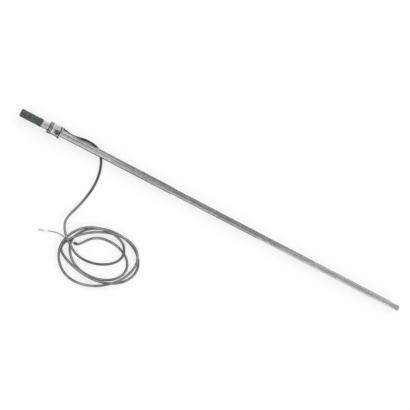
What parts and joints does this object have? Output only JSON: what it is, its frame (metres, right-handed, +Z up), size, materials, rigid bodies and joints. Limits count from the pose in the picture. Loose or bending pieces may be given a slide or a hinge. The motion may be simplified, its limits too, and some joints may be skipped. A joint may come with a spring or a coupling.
{
  "type": "flame sensor probe",
  "caption": "Long flame sensor probe: a thin steel stem with an insulated electrode, a clamp head with gland nut and set screw, a rubber cap, and a loose braided lead.",
  "frame": {"origin": "on the floor under the middle of the probe's length, straight below the stem's axis", "axes": "+X along the stem from the rubber cap to the flame end, +Z up, the loose lead lies at -Y"},
  "size_m": [0.58, 0.1646, 0.0162],
  "materials": {
    "rubber_cap": "moulded rubber, matt",
    "silicone_plug": "silicone, matt",
    "polished_steel": "drawn stainless tube, polished",
    "tip_ceramic": "fired ceramic, heat-darkened",
    "electrode_alloy": "iron-chromium alloy, oxidised",
    "white_ceramic": "fired ceramic, matt",
    "blackened_steel": "black oxide",
    "brass": "turned",
    "bright_plate": "bright zinc plate",
    "plated_steel": "zinc plate, satin",
    "grommet_rubber": "moulded rubber, matt",
    "shrink_plastic": "shrink sleeve",
    "core_metal": "tinned copper",
    "braided_lead": "woven grey braid",
    "white_plastic": "moulded plastic"
  },
  "bodies": {
    "probe": {"end_cap": "rubber_cap", "end_plug": "silicone_plug", "sleeve_tube": "polished_steel", "stem_tube": "polished_steel", "tip_bush": "tip_ceramic", "electrode_rod": "electrode_alloy", "insulator_tube_1": "white_ceramic", "insulator_tube_2": "white_ceramic", "insulator_tube_3": "white_ceramic", "insulator_tube_4": "white_ceramic", "olive_ring": "brass", "clamp_body": "plated_steel", "cable_grommet": "grommet_rubber", "splice_barrel": "brass", "splice_sleeve": "shrink_plastic", "lead_core": "core_metal", "lead_cable": "braided_lead", "lead_coil": "braided_lead", "jacket_sleeve": "shrink_plastic", "core_insulation": "white_plastic", "core_wire": "core_metal", "ferrule_collar": "white_plastic", "ferrule_pin": "core_metal"},
    "thrust_ring": {"thrust_ring": "bright_plate"},
    "gland_nut": {"gland_nut": "blackened_steel"},
    "screw_washer": {"screw_washer": "bright_plate"},
    "clamp_screw": {"clamp_screw": "blackened_steel"}
  },
  "joints": [
    {"name": "gland_travel", "type": "slide", "parent": "probe", "child": "thrust_ring", "axis": [-1, 0, 0], "range_m": [0, 0.002]},
    {"name": "gland_turn", "type": "hinge", "parent": "thrust_ring", "child": "gland_nut", "pos_m": [-0.251, 0, 0.0078], "axis": [-1, 0, 0], "range_deg": [0, 720]},
    {"name": "screw_travel", "type": "slide", "parent": "probe", "child": "screw_washer", "axis": [0, -0.4226, 0.9063], "range_m": [0, 0.001]},
    {"name": "screw_turn", "type": "hinge", "parent": "screw_washer", "child": "clamp_screw", "pos_m": [-0.2423, 0, 0.0078], "axis": [0, -0.4226, 0.9063], "range_deg": [0, 720]}
  ],
  "couplings": [
    {"joint": "gland_turn", "follows": "gland_travel", "rad_per_m": 6283.2},
    {"joint": "screw_turn", "follows": "screw_travel", "rad_per_m": 12566}
  ]
}
